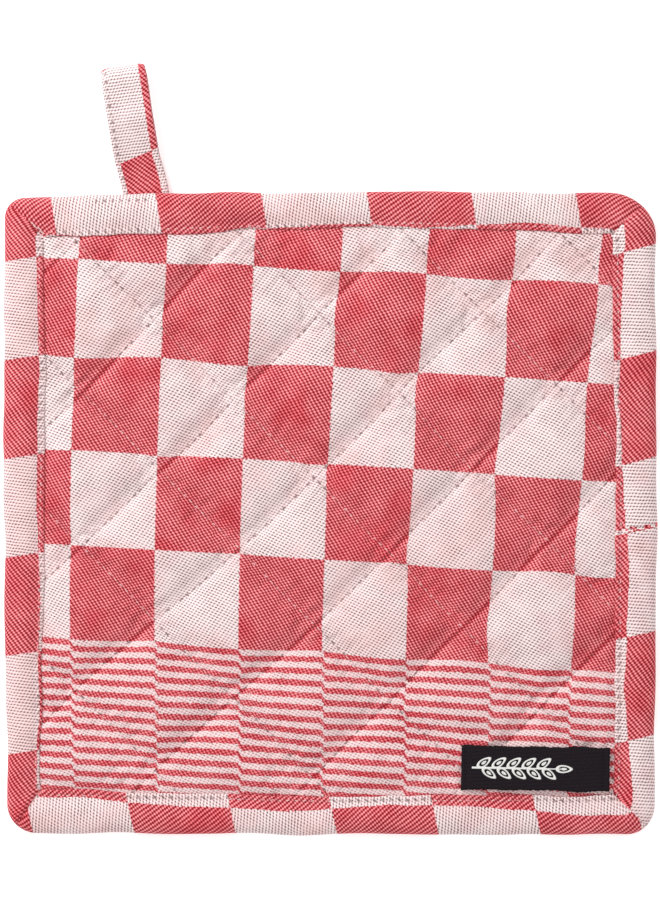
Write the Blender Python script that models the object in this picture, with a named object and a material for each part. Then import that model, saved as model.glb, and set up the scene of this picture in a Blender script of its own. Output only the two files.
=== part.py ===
# A square quilted pot holder lying on its back: a filled pad sewn in diamonds, a tape that binds its
# edge all round, a hanging loop of the same tape and a small woven label.
# Lengths are in millimetres. +Y points to the side with the hanging loop and +Z up, out of the face.
# The origin is the centre of the square, on the surface that the back lies on.

import math

import bmesh
import bpy
from mathutils import Vector
from mathutils.geometry import delaunay_2d_cdt

MM = 0.001
GAP = 0.3  # between pieces that touch

# The bound edge, clockwise: each row is a corner or a point where a side bends a little.
# Columns: name, outer x, outer y, outer radius, x and y of the tape's inner edge, its radius.
EDGE_KNOTS = (
    ("top left corner", -100.0, 96.6, 6.0, -88.2, 85.0, 2.5),
    ("over the loop", -57.0, 97.9, 0.0, -57.0, 85.4, 0.0),
    ("top middle", 10.0, 98.6, 0.0, 10.0, 88.0, 0.0),
    ("top right corner", 100.0, 98.3, 14.0, 86.8, 86.0, 2.5),
    ("right middle", 100.2, 0.0, 0.0, 88.0, 0.0, 0.0),
    ("bottom right corner", 99.8, -98.6, 9.0, 87.4, -86.8, 2.5),
    ("bottom middle", 0.0, -98.8, 0.0, 0.0, -87.2, 0.0),
    ("bottom left corner", -98.8, -98.4, 9.0, -89.4, -85.2, 2.5),
    ("left middle", -100.3, 10.0, 0.0, -87.4, 14.0, 0.0),
)
STATION_STEP = 8.5  # along the sides
CORNER_STEPS = 5  # in each rounded corner

# The tape's section. Columns: place across it (0 at the outer fold, 1 at the inner edges), height.
TAPE_OUTSIDE = (
    (1.00, 0.0),
    (0.60, 0.0),
    (0.17, 0.0),
    (0.05, 0.9),
    (0.00, 2.7),
    (0.04, 4.5),
    (0.16, 5.6),
    (0.45, 6.0),
    (0.85, 5.7),
    (1.00, 5.4),
)
TAPE_INSIDE = (
    (1.00, 4.5),
    (0.55, 4.7),
    (0.22, 4.5),
    (0.15, 3.0),
    (0.22, 1.2),
    (1.00, 1.2),
)

# The pad: its rim, held inside the tape, and the body that swells between the stitch lines.
# Columns: name, place across the tape, underside height, top height. None leaves it to the swelling.
PAD_RINGS = (
    ("cut edge", 0.26, 1.7, 3.9),
    ("tape's inner edge", 0.98, 1.5, 4.1),
    ("start of the swelling", 1.10, 0.0, None),
)
PAD_CROWN = 7.6  # at the middle of a diamond
PAD_AT_EDGE = 4.9  # beside the tape
PAD_AT_STITCH = 3.3
BACK_GROOVE = 0.6  # how far a stitch line is drawn up on the back
SWELLING_RUN = 16.0  # from the tape to full swelling

# The stitch lines that quilt it, straight and at 45 degrees: signed distance from the centre.
RISING_LINES = (-113.2, -79.6, -44.7, -10.2, 22.1, 54.2, 88.5)  # distance grows to the lower right
FALLING_LINES = (-93.7, -61.2, -27.6, 3.9, 40.8, 77.0, 110.6)  # distance grows to the upper right
DIAMOND_CUTS = (0.0, 0.08, 0.27, 0.5, 0.73, 0.92)  # where the mesh is cut between two lines
CELL_MARGIN = 1.6  # least distance from a cut to the start of the swelling

LABEL_SIZE = (45.6, 13.6, 1.0)
LABEL_CENTRE = (63.0, -78.4)
LABEL_TILT = -1.0  # degrees
LABEL_BED = 5.0  # height of the pad under it
LABEL_BED_FLAT = 6.0  # how far past the label the pad stays down
LABEL_BED_RUN = 10.0  # and how far it takes to rise again

LOOP_BASE = (-57.7, 98.0)  # where its middle crosses the outer edge
LOOP_LEAN = 8.8  # degrees to the left
LOOP_WIDTH = 14.0
LOOP_TAPE = 1.4
LOOP_REACH = 39.8  # past the outer edge
LOOP_TUCK = 11.0  # length sewn to the back of the edge
LOOP_END_RADIUS = 3.5  # of the turn at its far end, to the middle of the tape
LOOP_RISE = (3.0, 27.0)  # where the upper leg leaves the lower one, and where it is parallel again
LOOP_STEPS = 10

# The two legs of the loop lie under the edge, so the edge is higher there.
LIFT = 2 * LOOP_TAPE + 2 * GAP
LIFT_FLAT = 9.5  # half the width that is lifted all the way
LIFT_RUN = 30.0  # along the edge and inwards, down to nothing
LIFT_DEPTH = 14.0  # inwards from the outer edge, lifted all the way


def clamp(value):
    return max(0.0, min(1.0, value))


def smooth(value):
    """An even S curve from 0 to 1."""
    value = clamp(value)
    return value * value * (3 - 2 * value)


def cotton(name, colour):
    """A plain cotton finish."""
    material = bpy.data.materials.new(name)
    material.use_nodes = True
    shader = material.node_tree.nodes["Principled BSDF"]
    shader.inputs["Base Color"].default_value = (*colour, 1.0)
    shader.inputs["Roughness"].default_value = 0.9
    shader.inputs["Metallic"].default_value = 0.0
    return material


def add_object(name, mesh, material):
    """A finished piece in the scene, its faces pointing out."""
    cleaned = bmesh.new()
    cleaned.from_mesh(mesh)
    bmesh.ops.recalc_face_normals(cleaned, faces=cleaned.faces)
    cleaned.to_mesh(mesh)
    cleaned.free()
    mesh.materials.append(material)
    piece = bpy.data.objects.new(name, mesh)
    bpy.context.scene.collection.objects.link(piece)
    return piece


def corner_points(before, corner, after, radius):
    """The arc that rounds a corner, or the point alone where the side only bends."""
    if radius == 0:
        return [corner]
    back = (before - corner).normalized()
    onward = (after - corner).normalized()
    half_angle = back.angle(onward) / 2
    centre = corner + (back + onward).normalized() * radius / math.sin(half_angle)
    start = (corner + back * radius / math.tan(half_angle) - centre).normalized()
    end = (corner + onward * radius / math.tan(half_angle) - centre).normalized()
    steps = range(CORNER_STEPS + 1)
    return [centre + start.slerp(end, step / CORNER_STEPS) * radius for step in steps]


def edge_ring(column):
    """The points of the outer edge (column 1) or of the tape's inner edge (column 4), station by station."""
    knots = [Vector(row[column : column + 2]) for row in EDGE_KNOTS]
    outer = [Vector(row[1:3]) for row in EDGE_KNOTS]
    count = len(knots)
    turns = []
    for index, row in enumerate(EDGE_KNOTS):
        before, after = knots[index - 1], knots[(index + 1) % count]
        turns.append(corner_points(before, knots[index], after, row[column + 2]))
    ring = []
    for index, turn in enumerate(turns):
        following = (index + 1) % count
        steps = round((outer[following] - outer[index]).length / STATION_STEP)
        ring += turn
        ring += [turn[-1].lerp(turns[following][0], step / steps) for step in range(1, steps)]
    return ring


OUTER_RING = edge_ring(1)
INNER_RING = edge_ring(4)


def ring_across(place):
    """The ring that lies at this place across the tape."""
    return [outer + (inner - outer) * place for outer, inner in zip(OUTER_RING, INNER_RING)]


def lift(point):
    """How far the edge is raised where the loop's legs lie under it."""
    sideways = abs(point.x - LOOP_BASE[0]) - LIFT_FLAT
    inwards = LOOP_BASE[1] - LIFT_DEPTH - point.y
    return LIFT * smooth(1 - sideways / LIFT_RUN) * smooth(1 - inwards / LIFT_RUN)


def build_binding():
    """One tape folded over the edge all the way round."""
    shell = bmesh.new()
    rings = []
    for place, height in TAPE_OUTSIDE + TAPE_INSIDE:
        ring = []
        for point in ring_across(place):
            ring.append(shell.verts.new((point.x * MM, point.y * MM, (height + lift(point)) * MM)))
        rings.append(ring)
    stations = len(OUTER_RING)
    for index, ring in enumerate(rings):
        other = rings[index - 1]
        for here in range(stations):
            there = (here + 1) % stations
            shell.faces.new((ring[here], ring[there], other[there], other[here]))
    mesh = bpy.data.meshes.new("edge_binding")
    shell.to_mesh(mesh)
    shell.free()
    return add_object("edge_binding", mesh, cotton("binding_cotton", (0.70, 0.33, 0.34)))


def line_distances(point):
    """Signed distances from the centre, square to the rising and to the falling stitch lines."""
    return (point.x - point.y) / math.sqrt(2), (point.x + point.y) / math.sqrt(2)


def swell(distance, lines):
    """0 on a stitch line, 1 halfway between two of them, with the round shoulders of a filled pad."""
    for near, far in zip(lines, lines[1:]):
        if near <= distance <= far:
            middle = abs(2 * (distance - near) / (far - near) - 1)
            return 1 - middle**2.5
    return 0.5


def distance_inside(point, ring):
    """The distance from a point to the nearest side of a ring, below 0 outside it."""
    nearest = math.inf
    for index, end in enumerate(ring):
        start = ring[index - 1]
        along = (end - start).normalized()
        offset = point - start
        reach = max(0.0, min(offset.dot(along), (end - start).length))
        away = (offset - along * reach).length
        side = along.x * offset.y - along.y * offset.x
        if away < abs(nearest):
            nearest = away if side < 0 else -away
    return nearest


def label_distance(point):
    """The distance from a point to the label's outline."""
    offset = point - Vector(LABEL_CENTRE)
    along = Vector((math.cos(math.radians(LABEL_TILT)), math.sin(math.radians(LABEL_TILT))))
    beyond_length = max(0.0, abs(offset.dot(along)) - LABEL_SIZE[0] / 2)
    beyond_width = max(0.0, abs(offset.dot(along.orthogonal())) - LABEL_SIZE[1] / 2)
    return math.hypot(beyond_length, beyond_width)


def top_height(point, rim):
    """The height of the pad's face at a point inside the rim of the tape."""
    rising, falling = line_distances(point)
    pillow = math.sqrt(swell(rising, RISING_LINES) * swell(falling, FALLING_LINES))
    inwards = 1 - (1 - clamp(distance_inside(point, rim) / SWELLING_RUN)) ** 2
    crown = PAD_AT_EDGE + (PAD_CROWN - PAD_AT_EDGE) * inwards
    height = PAD_AT_STITCH + (crown - PAD_AT_STITCH) * pillow
    bedded = smooth((label_distance(point) - LABEL_BED_FLAT) / LABEL_BED_RUN)
    return min(height, LABEL_BED) * (1 - bedded) + height * bedded


def cuts_between(lines):
    """Places where the pad's mesh is cut, square to one set of stitch lines. Columns: distance, on a line."""
    cuts = []
    for near, far in zip(lines, lines[1:]):
        cuts += [(near + (far - near) * share, share == 0.0) for share in DIAMOND_CUTS]
    return cuts + [(lines[-1], True)]


def pad_plan():
    """The pad seen from above: its points, their ring (None inside), and its triangles."""
    points, rings, stitches = [], [], []
    ring_points = [ring_across(row[1]) for row in PAD_RINGS]
    for number, ring in enumerate(ring_points):
        first = len(points)
        points += ring
        rings += [number] * len(ring)
        stitches += [(first + here, first + (here + 1) % len(ring)) for here in range(len(ring))]
    rim = ring_points[-1]
    placed = {}
    for row, (rising, on_rising) in enumerate(cuts_between(RISING_LINES)):
        for column, (falling, on_falling) in enumerate(cuts_between(FALLING_LINES)):
            point = Vector((rising + falling, falling - rising)) / math.sqrt(2)
            if distance_inside(point, rim) < CELL_MARGIN:
                continue
            placed[row, column] = len(points)
            points.append(point)
            rings.append(None)
            if on_rising and (row, column - 1) in placed:
                stitches.append((placed[row, column - 1], placed[row, column]))
            if on_falling and (row - 1, column) in placed:
                stitches.append((placed[row - 1, column], placed[row, column]))
    outline = list(range(len(ring_points[0])))
    made = delaunay_2d_cdt(points, stitches, [outline], 1, 1e-4)
    rings = [rings[sources[0]] for sources in made[3]]
    return made[0], rings, made[2], rim


def build_pad():
    """The filled body: two layers that part between the stitch lines, and a thin rim all round."""
    points, rings, triangles, rim = pad_plan()
    shell = bmesh.new()
    lows, highs = [], []
    for point, ring in zip(points, rings):
        low, high = (None, None) if ring is None else PAD_RINGS[ring][2:]
        if low is None:
            rising, falling = line_distances(point)
            stitched = swell(rising, RISING_LINES) * swell(falling, FALLING_LINES) < 0.001
            low = BACK_GROOVE if stitched else 0.0
        if high is None:
            high = top_height(point, rim)
        raised = lift(point)
        lows.append(shell.verts.new((point.x * MM, point.y * MM, (low + raised) * MM)))
        highs.append(shell.verts.new((point.x * MM, point.y * MM, (high + raised) * MM)))
    for triangle in triangles:
        shell.faces.new([highs[corner] for corner in triangle])
        shell.faces.new([lows[corner] for corner in reversed(triangle)])
    edge = [corner for corner, ring in enumerate(rings) if ring == 0]
    for here, there in zip(edge, edge[1:] + edge[:1]):
        shell.faces.new((lows[here], lows[there], highs[there], highs[here]))
    mesh = bpy.data.meshes.new("quilted_pad")
    shell.to_mesh(mesh)
    shell.free()
    return add_object("quilted_pad", mesh, cotton("check_cotton", (0.70, 0.32, 0.33)))


def loop_middle():
    """The middle of the loop's tape from the side, from one end to the other. Columns: reach, height."""
    low = LOOP_TAPE / 2
    near = low + LOOP_TAPE + GAP
    far = low + 2 * LOOP_END_RADIUS
    turn_at = LOOP_REACH - LOOP_END_RADIUS - LOOP_TAPE / 2
    middle = [(-LOOP_TUCK, low), (0.0, low)]
    for step in range(LOOP_STEPS + 1):
        angle = math.pi * (step / LOOP_STEPS - 0.5)
        reach = turn_at + LOOP_END_RADIUS * math.cos(angle)
        middle.append((reach, low + LOOP_END_RADIUS * (1 + math.sin(angle))))
    start, end = LOOP_RISE
    for step in range(LOOP_STEPS + 1):
        share = 1 - step / LOOP_STEPS
        middle.append((start + (end - start) * share, near + (far - near) * smooth(share)))
    middle.append((-LOOP_TUCK, near))
    return [Vector(point) for point in middle]


def build_loop():
    """A strip of tape folded back on itself, its two ends together."""
    middle = loop_middle()
    left, right = [], []
    for index, point in enumerate(middle):
        before, after = middle[max(index - 1, 0)], middle[min(index + 1, len(middle) - 1)]
        sideways = (after - before).normalized().orthogonal() * LOOP_TAPE / 2
        left.append(point + sideways)
        right.append(point - sideways)
    strip = bmesh.new()
    for side in (-LOOP_WIDTH / 2, LOOP_WIDTH / 2):
        for point in left + right:
            strip.verts.new((side * MM, point.x * MM, point.y * MM))
    strip.verts.ensure_lookup_table()
    count = len(middle)
    outline = list(range(count)) + list(range(2 * count - 1, count - 1, -1))
    for here, there in zip(outline, outline[1:] + outline[:1]):
        corners = (here, there, there + 2 * count, here + 2 * count)
        strip.faces.new([strip.verts[corner] for corner in corners])
    for first in (0, 2 * count):
        for step in range(count - 1):
            corners = (step, step + 1, step + 1 + count, step + count)
            strip.faces.new([strip.verts[first + corner] for corner in corners])
    mesh = bpy.data.meshes.new("hanging_loop")
    strip.to_mesh(mesh)
    strip.free()
    piece = add_object("hanging_loop", mesh, cotton("loop_cotton", (0.76, 0.44, 0.45)))
    piece.location = (LOOP_BASE[0] * MM, LOOP_BASE[1] * MM, 0.0)
    piece.rotation_euler.z = math.radians(LOOP_LEAN)
    return piece


def build_label():
    """A narrow woven label with rounded corners, flat on the pad."""
    plate = bmesh.new()
    bmesh.ops.create_cube(plate, size=1.0)
    bmesh.ops.scale(plate, vec=[side * MM for side in LABEL_SIZE], verts=plate.verts)
    uprights = [edge for edge in plate.edges if abs(edge.verts[0].co.z - edge.verts[1].co.z) > GAP * MM]
    bmesh.ops.bevel(plate, geom=uprights, offset=0.8 * MM, segments=2, affect="EDGES")
    mesh = bpy.data.meshes.new("label")
    plate.to_mesh(mesh)
    plate.free()
    piece = add_object("label", mesh, cotton("label_weave", (0.02, 0.018, 0.02)))
    height = LABEL_BED + GAP + LABEL_SIZE[2] / 2
    piece.location = (LABEL_CENTRE[0] * MM, LABEL_CENTRE[1] * MM, height * MM)
    piece.rotation_euler.z = math.radians(LABEL_TILT)
    return piece


for old_object in list(bpy.data.objects):
    bpy.data.objects.remove(old_object, do_unlink=True)
build_pad()
build_binding()
build_loop()
build_label()
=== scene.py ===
import math
import random

import bmesh
import bpy
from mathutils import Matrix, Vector, noise
from mathutils.bvhtree import BVHTree
from mathutils.kdtree import KDTree


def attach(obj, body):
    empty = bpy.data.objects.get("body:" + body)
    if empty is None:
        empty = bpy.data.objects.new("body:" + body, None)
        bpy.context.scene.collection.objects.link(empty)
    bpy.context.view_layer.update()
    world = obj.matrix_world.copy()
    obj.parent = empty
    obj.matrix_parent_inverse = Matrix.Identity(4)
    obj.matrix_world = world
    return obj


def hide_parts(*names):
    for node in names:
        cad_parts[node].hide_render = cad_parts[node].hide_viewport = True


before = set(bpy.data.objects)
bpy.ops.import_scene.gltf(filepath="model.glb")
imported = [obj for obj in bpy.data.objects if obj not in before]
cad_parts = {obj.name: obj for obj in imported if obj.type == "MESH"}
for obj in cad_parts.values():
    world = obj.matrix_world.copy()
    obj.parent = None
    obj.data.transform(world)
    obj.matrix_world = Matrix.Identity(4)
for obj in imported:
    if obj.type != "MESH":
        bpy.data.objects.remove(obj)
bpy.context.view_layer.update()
bpy.context.scene.view_settings.view_transform = "Standard"
mm = 0.001  # all sizes below are in millimetres, on the frame's own origin
dice = random.Random(11)
body = "root"


def clamp(value):
    return max(0.0, min(1.0, value))


def smooth(value):
    value = clamp(value)
    return value * value * (3 - 2 * value)


def waver(x, y, size, seed=0.0):
    # soft noise from -1 to 1 with bumps of about that size
    return noise.noise(Vector((x / size, y / size, seed)))


def turnedBy(along, across, angle):
    # where a place on turned axes lies on straight ones
    x = math.cos(angle) * along - math.sin(angle) * across
    return x, math.sin(angle) * along + math.cos(angle) * across


def goTo(mode):
    bpy.ops.object.mode_set(mode=mode)


def selectAll(action):
    bpy.ops.mesh.select_all(action=action)


def activate(piece):
    bpy.ops.object.select_all(action="DESELECT")
    piece.select_set(True)
    bpy.context.view_layer.objects.active = piece


def newGrid(name, columns, rows):
    bpy.ops.object.select_all(action="DESELECT")
    bpy.ops.mesh.primitive_grid_add(x_subdivisions=columns, y_subdivisions=rows, size=1.0)
    piece = bpy.context.object
    piece.name = piece.data.name = name
    piece.data.uv_layers[0].name = "cloth"
    return piece


def gridPlace(vertex, columns, rows):
    # column and row of a vertex of a fresh grid
    return round((vertex.co.x + 0.5) * columns), round((vertex.co.y + 0.5) * rows)


def closeUp(piece, fillEnds=False):
    # merges the seam where a grid meets itself, fills its open ends and turns its faces out
    activate(piece)
    goTo("EDIT")
    selectAll("SELECT")
    bpy.ops.mesh.remove_doubles(threshold=0.00001)
    if fillEnds:
        selectAll("DESELECT")
        bpy.ops.mesh.select_mode(type="EDGE")
        bpy.ops.mesh.select_non_manifold()
        bpy.ops.mesh.fill_holes(sides=0)
        bpy.ops.mesh.select_mode(type="VERT")
        selectAll("SELECT")
    bpy.ops.mesh.normals_make_consistent(inside=False)
    goTo("OBJECT")
    bpy.ops.object.shade_smooth()


def thicken(piece, thickness):
    modifier = piece.modifiers.new("body", "SOLIDIFY")
    modifier.thickness = thickness * mm
    modifier.offset = -1.0
    activate(piece)
    bpy.ops.object.modifier_apply(modifier="body")


def finish(piece, material, standsFor=None):
    piece.data.materials.clear()
    piece.data.materials.append(material)
    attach(piece, body)
    if standsFor:
        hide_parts(standsFor)


# helpers for the materials


def feed(tree, socket, value):
    if isinstance(value, bpy.types.NodeSocket):
        tree.links.new(value, socket)
    elif hasattr(socket.default_value, "__len__") and len(socket.default_value) == 4:
        socket.default_value = (*value, 1.0)
    else:
        socket.default_value = value


def maths(tree, operation, *values):
    step = tree.nodes.new("ShaderNodeMath")
    step.operation = operation
    for socket, value in zip(step.inputs, values):
        feed(tree, socket, value)
    return step.outputs[0]


def times(tree, first, second):
    return maths(tree, "MULTIPLY", first, second)


def scaled(tree, value, factor, added):
    return maths(tree, "MULTIPLY_ADD", value, factor, added)


def rangeOf(tree, value, low, high, toLow=0.0, toHigh=1.0):
    step = tree.nodes.new("ShaderNodeMapRange")
    for socket, setting in zip(step.inputs, (value, low, high, toLow, toHigh)):
        feed(tree, socket, setting)
    return step.outputs[0]


def mixColour(tree, share, first, second, blend="MIX"):
    step = tree.nodes.new("ShaderNodeMix")
    step.data_type = "RGBA"
    step.blend_type = blend
    for number, value in ((0, share), (6, first), (7, second)):
        feed(tree, step.inputs[number], value)
    return step.outputs[2]


def uvParts(tree, mapName):
    source = tree.nodes.new("ShaderNodeUVMap")
    source.uv_map = mapName
    parts = tree.nodes.new("ShaderNodeSeparateXYZ")
    tree.links.new(source.outputs[0], parts.inputs[0])
    return source.outputs[0], parts.outputs[0], parts.outputs[1]


def noiseOn(tree, vector, scale, detail=2.0):
    step = tree.nodes.new("ShaderNodeTexNoise")
    tree.links.new(vector, step.inputs["Vector"])
    step.inputs["Scale"].default_value = scale
    step.inputs["Detail"].default_value = detail
    return step.outputs[0]


def unevenness(tree, vector, scale, detail=2.0):
    # soft noise from -0.5 to 0.5
    return maths(tree, "SUBTRACT", noiseOn(tree, vector, scale, detail), 0.5)


def colourRamp(tree, value, stops):
    step = tree.nodes.new("ShaderNodeValToRGB")
    feed(tree, step.inputs[0], value)
    elements = step.color_ramp.elements
    while len(elements) < len(stops):
        elements.new(0.5)
    for element, (place, colour) in zip(elements, stops):
        element.position = place
        element.color = (*colour, 1.0)
    return step.outputs[0]


def newMaterial(name, roughness, gloss=0.5):
    material = bpy.data.materials.new(name)
    material.use_nodes = True
    shader = material.node_tree.nodes["Principled BSDF"]
    shader.inputs["Roughness"].default_value = roughness
    shader.inputs["Specular IOR Level"].default_value = gloss
    return material, material.node_tree, shader


def bumpInto(tree, shader, height, distance):
    step = tree.nodes.new("ShaderNodeBump")
    step.inputs["Strength"].default_value = 1.0
    step.inputs["Distance"].default_value = distance * mm
    feed(tree, step.inputs["Height"], height)
    tree.links.new(step.outputs[0], shader.inputs["Normal"])


# camera and light: straight down on the face, soft light from the upper left

studio = {
    "cameraHeight": 1500.0,
    "centre": (0.0, 19.3),
    "tall": 276.1,  # how much of the floor the picture is high
    "aimHeight": 5.0,
    "keyPlace": (-560.0, 580.0, 680.0),
    "keySize": 420.0,
    "keyPower": 8.2,
    "sky": 0.85,
    "white": (1.0, 1.0, 1.0, 1.0),
    "floorSize": 12000.0,
    "floorDrop": 0.2,
    "paper": (0.93, 0.93, 0.93, 1.0),
    "paperRoughness": 0.9,
    "paperGlow": 0.4,
}


def setUpStudio():
    x, y = studio["centre"]
    camera = bpy.data.objects.new("camera", bpy.data.cameras.new("camera"))
    bpy.context.scene.collection.objects.link(camera)
    camera.location = (x * mm, y * mm, studio["cameraHeight"] * mm)
    away = studio["cameraHeight"] - studio["aimHeight"]
    camera.data.lens = camera.data.sensor_width * away / studio["tall"]
    bpy.context.scene.camera = camera

    key = bpy.data.objects.new("key", bpy.data.lights.new("key", "AREA"))
    bpy.context.scene.collection.objects.link(key)
    key.data.size = studio["keySize"] * mm
    key.data.energy = studio["keyPower"]
    key.location = Vector(studio["keyPlace"]) * mm
    key.rotation_euler = key.location.to_track_quat("Z", "Y").to_euler()

    world = bpy.data.worlds.new("sky")
    world.use_nodes = True
    sky = world.node_tree.nodes["Background"]
    sky.inputs["Color"].default_value = studio["white"]
    sky.inputs["Strength"].default_value = studio["sky"]
    bpy.context.scene.world = world

    bpy.ops.object.select_all(action="DESELECT")
    bpy.ops.mesh.primitive_plane_add(size=studio["floorSize"] * mm)
    floor = bpy.context.object
    floor.name = "floor"
    for vertex in floor.data.vertices:
        vertex.co.z = -studio["floorDrop"] * mm
    paper, _, shader = newMaterial("paper", studio["paperRoughness"])
    shader.inputs["Base Color"].default_value = studio["paper"]
    shader.inputs["Emission Color"].default_value = studio["white"]
    shader.inputs["Emission Strength"].default_value = studio["paperGlow"]
    floor.data.materials.append(paper)
    print("studio ready")


setUpStudio()


# the checked cotton, for the pad, the tape and the loop

cloth = {
    "padCheck": (26.0, 29.2),  # width and height of one check
    "tapeCheck": (31.5, 29.2),
    "stripeHeight": 1.81,
    "stripesFrom": 4.0,  # checks down from the first row line
    "stripeSlant": 1.0,
    "raggedness": 1.4,  # of the checks' edges, in mm
    "raggedScale": 38.0,
    # floats of the satin, lengthways and crossways per mm and weight, in the red and in the white
    "padWaves": (((0.83, -0.555, 0.6), (0.82, 0.55, 0.42)), ((0.41, 1.11, 0.42), (0.42, -1.10, 0.6))),
    "tapeWaves": (((0.52, -0.74, 0.6), (1.02, -0.28, 0.62)), ((1.02, 0.5, 0.45), (0.53, 0.87, 0.4))),
    "drift": 0.5,  # how far the floats wander from their rows
    "driftScale": 9.0,
    # the yarn colours by the floats' relief: the yarns' own red and white, with painted shade at the dark
    # low end in the gaps between floats
    "redYarnAndGapShade": ((0.0, (0.13, 0.003, 0.008)), (0.42, (0.42, 0.028, 0.042)), (1.0, (0.98, 0.37, 0.385))),
    "whiteYarnAndGapShade": (
        (0.0, (0.085, 0.055, 0.05)),
        (0.2, (0.40, 0.28, 0.275)),
        (0.48, (0.72, 0.58, 0.58)),
        (1.0, (0.93, 0.78, 0.78)),
    ),
    "deepRed": (0.94, 0.62, 0.66),  # the reds' deeper patches, and the painted shade by the rising lines
    "deepScale": 85.0,
    "deepFrom": (0.5, 0.72),
    "blush": (0.98, 0.86, 0.86),  # the whites' pink patches
    "blushScale": 70.0,
    "blushFrom": (0.42, 0.68),
    "stripedBlush": 0.8,
    "leftShadeRange": (-86.0, -93.0),  # painted shade makes the tape pinker and darker at its left, and the loop isn't
    "pinkBelow": (103.0, 98.0),
    "stripedRelief": 0.7,
    # on both sides of a rising line, by the distance from it: where it is lighter, partly floats drawn flat
    # and partly a painted highlight; where the red is deeper, painted shade; and where the red darkens in
    # the crease, painted shade
    "flatFloatHighlight": 0.08,
    "flatHighlightSpan": ((0.0, 1.5), (4.0, 1.2)),
    "shadedRedSpan": (0.8, 0.0),
    "creaseShade": 0.2,
    "creaseShadeSpan": (1.2, 0.2),
    "unevenYarn": 0.5,  # how much one float differs from the next, and one part of the cloth from another
    "yarnScale": 60.0,
    "unevenCloth": 0.3,
    "clothScale": 150.0,
    "stitchPitch": 2.5,
    # painted shade in the needle holes, where the thread goes down
    "holeShadeColour": (0.15, 0.085, 0.085),
    "holesInRed": 0.35,
    "holeWidth": 0.8,
    "holeFade": (0.6, 0.2),
    "tapeHoleSlant": 0.7,
    "holeScale": 260.0,
    "holesFrom": (0.3, 0.65),
    "holesShown": (0.12, 0.9),  # the faintest and the darkest hole, and how much slanted ones gain
    "slantShown": 0.6,
    "relief": 0.1,
    "roughness": 0.85,
    "sheen": 0.05,
    "gloss": 0.15,
}


def wave(tree, x, y, isWhite, inRed, inWhite):
    # one set of floats, with its own slant in the red and in the white checks
    slopes = [scaled(tree, isWhite, w - r, r) for r, w in zip(inRed, inWhite)]
    phase = maths(tree, "ADD", times(tree, x, slopes[0]), times(tree, y, slopes[1]))
    return times(tree, maths(tree, "SINE", times(tree, phase, 2 * math.pi)), slopes[2])


def needleHoles(tree, mapName, slant):
    # 1 in the holes where the thread goes down, along one seam
    pitch = cloth["stitchPitch"]
    _, away, along = uvParts(tree, mapName)
    along = scaled(tree, away, slant, along)
    share = maths(tree, "FRACT", maths(tree, "DIVIDE", along, pitch))
    # a hole on the quilting lines is drawn out along the line, and one along the tape across it
    offCentre = times(tree, maths(tree, "SUBTRACT", share, 0.5), pitch * (1 + slant) / 2)
    offLine = maths(tree, "DIVIDE", away, cloth["holeWidth"] + slant)
    squares = [times(tree, part, part) for part in (offLine, offCentre)]
    return rangeOf(tree, maths(tree, "SQRT", maths(tree, "ADD", *squares)), *cloth["holeFade"])


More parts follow.
